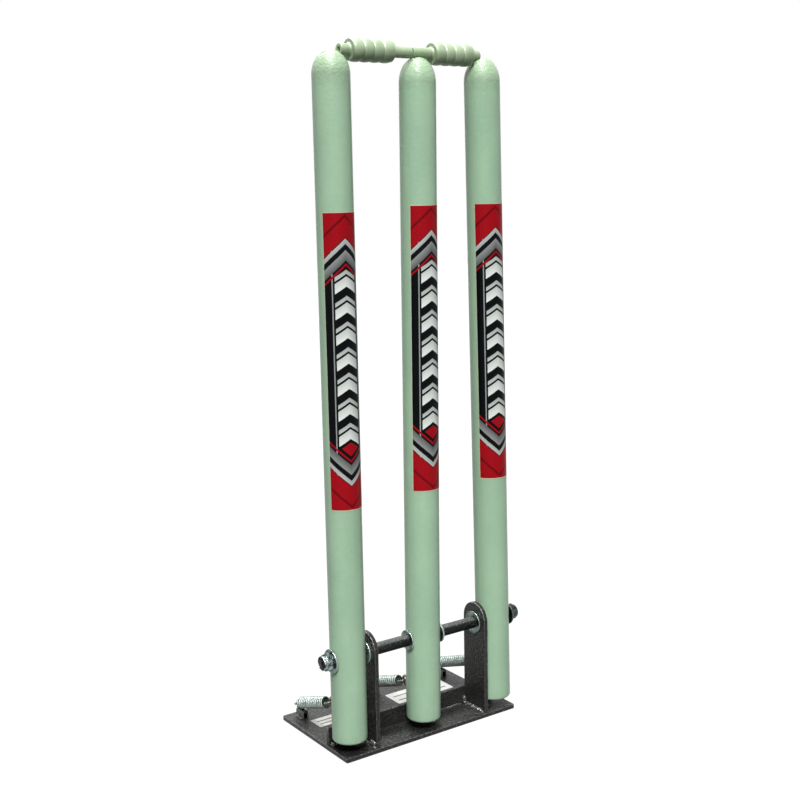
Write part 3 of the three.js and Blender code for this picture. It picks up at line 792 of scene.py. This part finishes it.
def weld(start, run, radius, wander):
    """Radius r·f(s)·(1 + 0.16·|sin(pi s / puddle)| + small waves), where f fades at the ends and
    a puddle is as long as the radius. The start is measured from the base's upper face."""
    start, length, along = np.add(start, (0, 0, base_top)), np.linalg.norm(run), unit(np.array(run))
    side = unit(np.cross(along, [0.31, 0.52, 0.8]))
    lift = np.cross(along, side)
    s = np.linspace(0, length, max(int(length / 0.3), 24))[:, None]
    a = np.linspace(0, 2 * np.pi, 19)[None, :]
    puddles = 0.16 * np.abs(np.sin(np.pi * (s + 0.45 * np.cos(a)) / radius))
    waves = 0.06 * np.sin(1.3 * s + wander) + 0.04 * np.sin(3.1 * s)
    fade = np.sqrt(np.clip(1 - np.abs(2 * s / length - 1) ** 6, 0, 1))
    r = (radius * fade * (1 + puddles + waves))[..., None]
    return start + along * s[..., None] + r * (np.cos(a)[..., None] * side + np.sin(a)[..., None] * lift)


seams = ((-upright_outer, 3.2), (-upright_inner, 2.4), (upright_inner, 3.4), (upright_outer, 2.1))
weld_lines = [  # where each starts, how far it runs, and its radius
    *(((x, -64.6, 0), (0, 34, 0), radius) for x, radius in seams),
    ((-upright_outer, -64.2, 4.2), (0, 10.2, 0), 2.9),
    *(((x, -29.2, 0), (0, 0, 9), 2.8) for x in (-upright_inner, upright_inner)),
    *(((side * 100, bar_front, 0), (side * 9, 0, 0), 2.1) for side in (-1, 1)),
    ((22, bar_front, 0), (44, 0, 0), 1.3),
    *(((x + side * 3.7, lug_back - 13, 0), (0, 12, 0), 2.1) for x in stump_x.values() for side in (-1, 1)),
]
beads = [weld(*line, wander=k) for k, line in enumerate(weld_lines)]
new_piece("weld_beads", beads, weld_enamel, "frame")
print(len(beads), "weld beads")

# %% [markdown]
# ## Labels on the base
#
# Two white paper labels lie on the base behind the bar. They are left blank apart from two
# ruled lines each, as on a write-on tag, drawn on Object coordinates.

# %% Paper labels
paper_thick, line_half, ink = 0.14, 1.0, (46, 46, 48)


def ruled_paper(name, clean, soiled, x0, x1, lines):
    """White paper with dark ruled lines at given Y, between two X, all in millimetres."""
    finish, tree, shader = new_finish(name, Roughness=0.62)
    x, y = (times(coordinate, 1000.0) for coordinate in coordinates(tree)[:2])
    colour = mixed(spread(object_noise(tree, 60.0, detail=3.0), 0.35, 0.75), clean, soiled)
    for line in lines:
        inked = times(between(y, line - line_half, line + line_half), between(x, x0, x1))
        colour = mixed(inked, colour, ink)
    give(shader, Base_Color=colour)
    add_bump(shader, object_noise(tree, 1500.0), 0.00002)
    return finish


for word, shades, place, span, lines in (
        ("left", ((166, 166, 160), (146, 144, 138)), (-94, -30, 15, 36), (-90, -36), (21.5, 28.5)),
        ("centre", ((180, 180, 177), (166, 165, 160)), (9, 86, 11.5, 42), (14, 80), (21, 32))):
    x0, x1, y0, y1 = place
    middle = ((x0 + x1) / 2, (y0 + y1) / 2)
    grid = plate_rows(rectangle(*place, 0.8), base_top, base_top + paper_thick, 0.04, middle=middle)
    paper = ruled_paper(f"label_paper_{word}", *shades, *span, lines)
    new_piece(f"label_{word}", [grid], paper, "frame", flats=True)

# %% [markdown]
# ## Axle, tubes, washers and nuts
#
# A threaded rod runs through everything. Its thread is a ridge whose phase goes up with the angle, so the
# ring formula needs only one more term. The washers' faces are dull with fine rings, drawn as a sine of the
# distance from the axle, and their rims are painted paler, a painted highlight.

# %% Metals
fine_grain = 0.00003


def clouded(name, pale, deep, roughness, patch=160.0):
    """Plated steel whose passivated coat clouds between a pale and a deep shade. The colour and
    the grain's height come back unlinked, so that a finish can add to them."""
    finish, tree, shader = new_finish(name, Metallic=0.95)
    clouds = object_noise(tree, patch, detail=3.0, roughness=0.6)
    give(shader, Roughness=spread(clouds, 0.3, 0.7, roughness * 0.75, roughness * 1.3))
    colour = mixed(spread(clouds, 0.38, 0.62), deep, pale)
    return finish, shader, colour, object_noise(tree, 1400.0, detail=1.0)


def plated(*recipe):
    """The clouded coat with only its fine grain as a bump."""
    finish, shader, colour, grain = clouded(*recipe)
    give(shader, Base_Color=colour)
    add_bump(shader, grain, fine_grain)
    return finish


def washer_finish(name, pale, deep, rim, rim_start=12.0):
    """Clouded faces with turned rings, and a rim painted paler outside rim_start, a painted highlight."""
    finish, shader, colour, grain = clouded(name, pale, deep, 0.3)
    tree = shader.id_data
    subtracted = {0: place_in(tree), 1: (0, axle_y / 1000, axle_z / 1000)}
    about = add_node(tree, "VectorMath", subtracted, operation="SUBTRACT").outputs[0]
    flat = add_node(tree, "VectorMath", {0: about, 1: (0, 1, 1)}, operation="MULTIPLY").outputs[0]
    length = add_node(tree, "VectorMath", {0: flat}, operation="LENGTH").outputs["Value"]
    distance = times(length, 1000.0)
    # The rim outside rim_start is painted paler: a painted highlight.
    give(shader, Base_Color=mixed(spread(distance, rim_start, rim_start + 0.5), colour, rim))
    rings = combined("SINE", times(distance, 9.0))
    add_bump(shader, plus(grain, times(rings, 0.3)), fine_grain)
    return finish


dull, dark, rim_highlight = (124, 136, 131), (70, 82, 78), (150, 162, 157)
washer_zinc = washer_finish("washer_zinc", dull, dark, rim_highlight)
small_zinc = washer_finish("small_washer_zinc", dull, dark, rim_highlight, 10.5)
# The bracket washers take a lighter copy of the plating: painted light. The right outer washer and the right
# nut take darker copies: painted shade.
lit_zinc = washer_finish("lit_washer_zinc", (176, 184, 181), (128, 138, 134), (190, 198, 195))
shaded_zinc = washer_finish("shaded_washer_zinc", (62, 70, 67), (34, 40, 38), (84, 92, 89))
nut_zinc = {"left": plated("nut_zinc", (168, 178, 178), (44, 58, 58), 0.22, 230.0),
            "right": plated("shaded_nut_zinc", (80, 88, 88), (26, 33, 33), 0.26, 230.0)}
rod_steel = plated("rod_steel", (44, 46, 45), (16, 17, 17), 0.36, 420.0)
gold_zinc = plated("gold_zinc", (174, 164, 128), (88, 78, 52), 0.26)

# %% Threaded rod
rod_half, rod_sides, thread_start = 128.3, 48, 84
thread_pitch, thread_depth = 1.5, 0.6


def rod_rows():
    """Radius 5 - depth·ridge(x / pitch - angle / 2 pi), where the ridge is a triangle wave."""
    thread_rows = int((rod_half - 1.0 - thread_start) / thread_pitch * 8)
    outer = np.linspace(thread_start, rod_half - 1.0, thread_rows)
    plain = np.linspace(1 - thread_start, thread_start - 1, 13)
    along = np.concatenate([[-rod_half] * 2, -outer[::-1], plain, outer, [rod_half] * 2])
    angle = np.linspace(0, 2 * np.pi, rod_sides + 1)
    phase = np.mod(along[:, None] / thread_pitch - angle[None] / (2 * np.pi), 1)
    ridge = np.abs(2 * phase - 1)
    threaded = (np.abs(along) >= thread_start)[:, None]
    radius = axle_radius - 0.05 - np.where(threaded, thread_depth * ridge, 0.25)
    radius[[0, -1]] = 0
    radius[[1, -2]] = axle_radius - 1.0
    return np.stack([np.repeat(along[:, None], rod_sides + 1, 1), axle_y + radius * np.cos(angle),
                     axle_z + radius * np.sin(angle)], -1)


new_piece("threaded_axle", [rod_rows()], rod_steel, "frame", ["axle_rod"], sharp=60)

# %% Washers and spacer tubes
washer_inner, washer_thick = 5.3, 2.1
washers = {
    "outer": (114.8, 12.5, washer_zinc, shaded_zinc), "bracket": (74.5, 12.5, lit_zinc, lit_zinc),
    "inner": (67.4, 12.5, washer_zinc, washer_zinc), "centre": (19.1, 11.0, small_zinc, small_zinc)}
for word, (side, axis) in ends.items():
    for kind, (x, rim, *finishes) in washers.items():
        profile = softened([[0, washer_inner, 0.15], [0, rim, 0.6], [washer_thick, rim, 0.6],
                            [washer_thick, washer_inner, 0.25]])
        grid = turned(profile, (side * x, axle_y, axle_z), axis, 72)
        new_piece(f"{kind}_washer_{word}_plated", [grid], finishes[side > 0], "frame",
                  [f"{kind}_washer_{word}"], flats=True)

tube_start, tube_length, tube_radius = 21.2, 46.2, 6.35
tube_enamel = hammered("tube_enamel", (12, 12, 12), (36, 38, 37), (110, 112, 108), 560.0, 0.0012,
                       "upper side", Metallic=0.0, Specular_IOR_Level=0.05, Coat_Roughness=0.25)
profile = softened([[0, 5.3, 0.1], [0, tube_radius, 0.3], [tube_length, tube_radius, 0.3],
                    [tube_length, 5.3, 0.1]])
for word, (side, axis) in ends.items():
    grid = turned(profile, (side * tube_start, axle_y, axle_z), axis)
    new_piece(f"spacer_tube_{word}_enamelled", [grid], tube_enamel, "frame",
              [f"spacer_tube_{word}"])

# %% Lock nuts
nut_x, nut_flat, nut_face, nut_length = 116.9, 8.5, 8.3, 7.0
nut_corner = nut_flat / np.cos(np.pi / 6)


def hexagon(angle):
    """Distance to a hexagon's side at each angle: flat / cos of the angle from that side's middle."""
    return nut_flat / np.cos(np.mod(angle + np.pi / 6, np.pi / 3) - np.pi / 6)


share = np.linspace(0, 1, 10)
chamfer = np.stack([0.9 * share, nut_face + (nut_corner - nut_face) * share], -1)
nut_profile = np.concatenate([
    [[0, 5.3], [0, 7.8]], chamfer, [nut_length, 0] + chamfer[::-1] * [-1, 1],
    softened([[nut_length, nut_face, 0.2], [nut_length, 7.7, 0.35], [10.4, 7.7, 1.5], [10.4, 6.7, 0.3],
              [7.2, 6.65, 0.2], [7.2, 5.3, 0.1], [0, 5.3, 0]], closed=False),
])
insert_profile = softened([[7.5, 5.0, 0.2], [7.5, 6.3, 0.2], [9.9, 6.3, 0.3], [9.9, 5.0, 0.5]])
black_nylon, tree, shader = new_finish("black_nylon", IOR=1.5, Specular_IOR_Level=0.25)
give(shader, Base_Color=mixed(object_noise(tree, 300.0), (12, 14, 16), (26, 29, 34)),
     Roughness=spread(object_noise(tree, 900.0), 0.3, 0.7, 0.4, 0.55))
add_bump(shader, object_noise(tree, 1200.0), 0.00003)
for word, (side, axis) in ends.items():
    place = (side * nut_x, axle_y, axle_z)
    nut = turned(nut_profile, place, axis, 144, limit=hexagon)
    new_piece(f"lock_nut_{word}_plated", [nut], nut_zinc[word], "frame",
              [f"lock_nut_{word}"], sharp=25, flats=True)
    new_piece(f"nylon_insert_{word}_moulded", [turned(insert_profile, place, axis)], black_nylon,
              "frame", [f"nylon_insert_{word}"])

# %% [markdown]
# ## Screw eyes and springs
#
# Each eye is a wire ring on a threaded shank. The spring's wire is a circle carried through a
# half-round hook, a short lead, the coil, a straight link and the far hook. Its frame needs no
# step-by-step turning, because the direction away from the hook's or coil's own centre is
# Painted shade darkens the inner side of the curls, so each point also stores how far inside it lies.
#
# As a stump tips, its spring stretches over the bar. One blend from lug to eye would drag the
# middle of the coil through the base, so the far hook with its link is a piece of its own.

# %% Wire along a path


def wire(path, outward, radius, sides=14):
    """Circle of a radius carried along a path. Its axes are outward, made square to the
    path's tangent T, and the cross product of T with it."""
    tangent = unit(np.gradient(path, axis=0))
    across = unit(outward - tangent * np.sum(outward * tangent, 1, keepdims=True))
    other = np.cross(tangent, across)
    angle = np.linspace(0, 2 * np.pi, sides + 1)[None, :, None]
    round_part = path[:, None] + radius * (np.cos(angle) * across[:, None] + np.sin(angle) * other[:, None])
    cap = lambda k: np.broadcast_to(path[k], (1, sides + 1, 3))
    return np.concatenate([cap(0), round_part, cap(-1)])


# %% Screw eyes
eye_local = np.array([0, stump_radius + 14.4, 45 - axle_z])
eye_ring, eye_wire, eye_shank = 5.0, 1.5, 2.0
shank_length, eye_pitch, eye_thread_from, eye_thread_depth = 24, 1.6, 8, 0.45
bend = np.linspace(-np.pi + 0.30, np.pi - 0.1, 73)
radial = np.stack([0 * bend, np.cos(bend), np.sin(bend)], -1)
ring = wire(eye_ring * radial, radial, eye_wire)
along = np.arange(0, shank_length, 0.15)[:, None]
angle = np.linspace(0, 2 * np.pi, 33)
ridge = np.abs(2 * np.mod(along / eye_pitch - angle / (2 * np.pi), 1) - 1)
cut = np.where(along > eye_thread_from, eye_thread_depth * (1 - ridge), 0)
radius = np.clip(np.minimum(eye_shank, (shank_length - along) * 0.5) - cut, 0, None)
radius[[0, -1]] = 0
shank = np.stack([radius * np.cos(angle), -4.4 - np.repeat(along, 33, 1), radius * np.sin(angle)], -1)
for word in stump_x:
    new_piece(f"screw_eye_{word}_plated", [hung(p + eye_local, word) for p in (ring, shank)], gold_zinc,
              f"stump_{word}", [f"screw_eye_{word}"], sharp=60)

# %% Spring wire
spring_wire, spring_radius, spring_curls = 1.1, 5.4, 14
spring_lead, lead_angle = 3.6, np.radians(60)
spring_link, spring_anchor_z = 2.5, 18.0


def spring_paths(length):
    """Hook (-r cos t, 0, -r sin t), lead and helix at a steady rise; then link and far hook."""
    r, total = spring_radius, 2 * np.pi * spring_curls
    t = np.linspace(0, np.pi, 33)
    hook = np.stack([-np.cos(t), 0 * t, -np.sin(t)], -1)
    tail = np.array([[-1.0, 0, 0]])
    share = np.linspace(0, 1, 9)[1:]
    lead = np.stack([lead_angle * share ** 2, spring_lead * (1 - (1 - share) ** 2)], -1)
    turns = np.linspace(0, 1, 32 * spring_curls)[1:-1, None]
    first, last = np.array([lead_angle, spring_lead]), np.array([total - lead_angle, length - spring_lead])
    end = [[total, length], [total, length + 0.05]]
    path = np.concatenate([lead, first + (last - first) * turns, np.stack([total, length]) - lead[::-1], end])
    angle, height = path.T
    coil_out = np.stack([np.cos(angle), np.sin(angle), 0 * angle], -1)
    coil = r * coil_out + height[:, None] * [0, 0, 1]
    near = np.concatenate([r * tail + [0, 0, 2 * spring_wire], r * hook, coil])
    rise = np.linspace(length, length + spring_link, 49)[:-1, None]
    link_out = np.repeat([[1.0, 0, 0]], len(rise), 0)
    far_out = hook[::-1] * [1, 1, -1]
    far = np.concatenate([r * link_out + rise * [0, 0, 1], r * far_out + [0, 0, length + spring_link]])
    return (near, np.concatenate([tail, hook, coil_out])), (far, np.concatenate([link_out, far_out]))


spring_zinc, shader, colour, grain = clouded("spring_zinc", (152, 161, 157), (132, 142, 137), 0.36, 120.0)
# The inner side of the curls and the far hook are darkened here: painted shade.
shaded = add_node(shader.id_data, "Attribute", attribute_name="painted_inner_shade").outputs["Fac"]
give(shader, Base_Color=mixed(shaded, colour, (30, 33, 31)))
add_bump(shader, grain, fine_grain)

# %% Hang the springs
corner_depth = np.sqrt((spring_radius - spring_wire - 0.3) ** 2 - (finger_thick / 2) ** 2)
hook_slack = eye_ring - eye_wire - 0.3 - spring_wire
blend_start, link_share = 8.0, 1 / 3
for word, x in stump_x.items():
    lug_side = np.array([x, lug_back + spring_radius - corner_depth, spring_anchor_z])
    reach_to_eye = hung(eye_local, word) - lug_side
    axis = unit(reach_to_eye)
    length = np.linalg.norm(reach_to_eye) - hook_slack - 2 * spring_radius - spring_link
    sideways = unit(np.array([1.0, 0, 0]) - axis * axis[0])
    turn_to_place = np.stack([sideways, np.cross(axis, sideways), axis])
    coil_end = spring_radius + length
    link_end = coil_end + spring_link
    spans = ((blend_start, blend_start + (coil_end - blend_start) / link_share),
             (link_end - spring_link / (1 - link_share), link_end))
    for kind, (path, outward), span in zip(("wound", "far_hook"), spring_paths(length), spans):
        path = path @ turn_to_place + lug_side + axis * spring_radius
        grid = wire(path, outward @ turn_to_place, spring_wire)
        spring = new_piece(f"spring_{word}_{kind}", [grid], spring_zinc, None,
                           [f"spring_{word}"] if kind == "wound" else (), sharp=60)
        from_lug = points_of(spring) - lug_side
        along = from_lug @ axis
        off_axis = np.linalg.norm(from_lug - along[:, None] * axis, axis=1)
        inner = np.clip((spring_radius + 0.3 - off_axis) / 0.8, 0, 1)
        inner *= (along > 4) & (along < coil_end + 0.2)
        # The far hook is stored as 0.6, so it takes painted shade too.
        store(spring, "painted_inner_shade", np.maximum(inner, 0.6 * (along > link_end + 1.5)))
        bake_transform(spring)
    print(f"spring_{word}: coil {length:.1f} mm long, pitch {length / spring_curls:.2f} mm")

# %% [markdown]
# ## Bails
#
# The bails are moulded in pale green plastic: a barrel of four swelling ribs between two rims,
# and a spigot at each end, hollow at its tip. The ribs are arches with narrow valleys, so the
# profile takes the square root of a sine, which rises steeply out of each valley. Hands and
# rain keep their upper side glossy, while the underside has gone dull.

# %% Bail plastic
bail_plastic, tree, shader = new_finish("bail_plastic", IOR=1.48, Specular_IOR_Level=0.1, Coat_IOR=1.7,
                                        Coat_Roughness=0.4)
clouds = spread(object_noise(tree, 60.0), 0.35, 0.65)
give(shader, Base_Color=mixed(clouds, (132, 151, 119), (150, 169, 137)),
     Coat_Weight=spread(coordinates(tree)["Z"], 0.7065, 0.7155, 0.2, 1.0),
     Roughness=spread(object_noise(tree, 500.0), 0.3, 0.7, 0.3, 0.42))
add_bump(shader, object_noise(tree, 420.0), 0.00006)

# %% Bail shape
bail_meeting, bail_gap = -2.8, 1.2
bail_low, bail_high = np.array(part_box("bail_left")) * 1000
bail_length = bail_high[0] - bail_low[0]
spigot, neck, groove, rib, rim = 5.7, 7.0, 10.0, 11.3, 10.2
hole_radius, hole_depth = 2.7, 8
barrel_start, barrel_end = 11.2, bail_length - 23.89
rib_start, rib_end = barrel_start + 1.4, barrel_end - 1.4
print("bail length", round(bail_length, 2), "mm, barrel", round(barrel_end - barrel_start, 2), "mm")


def end_table(tip, shoulder, inward):
    """From the bottom of the hole in a spigot's tip to the rim of the barrel."""
    deep, smooth = tip + inward * hole_depth, shoulder - inward * 1.6
    return [[deep, 0, 0], [deep, hole_radius, 0.3], [tip, hole_radius, 0.4], [tip, spigot, 0.9],
            [smooth, spigot, 1.0], [shoulder, neck, 0.3], [shoulder, rim, 0.6]]


def bail_profile():
    """Hole, spigot, rim, ribs r = groove + (rib - groove)·sqrt(sin(pi s)), rim, spigot, hole."""
    s = np.linspace(0, 4, 65)
    swell = np.sqrt(np.abs(np.sin(np.pi * s)))
    ribs = np.stack([rib_start + (rib_end - rib_start) * s / 4, groove + (rib - groove) * swell], -1)
    near = softened(end_table(0, barrel_start, 1), closed=False)
    far = softened(end_table(bail_length, barrel_end, -1)[::-1], closed=False)
    return np.concatenate([near, ribs, far])


for word, inward, side in (("left", "x", -1), ("right", "-x", 1)):
    start = bail_meeting + side * (bail_gap / 2 + bail_length)
    grid = turned(bail_profile(), (start, axle_y, bail_z), inward, 96)
    new_piece(f"bail_{word}_moulded", [grid], bail_plastic, f"bail_{word}",
              [f"bail_{word}"], sharp=50)
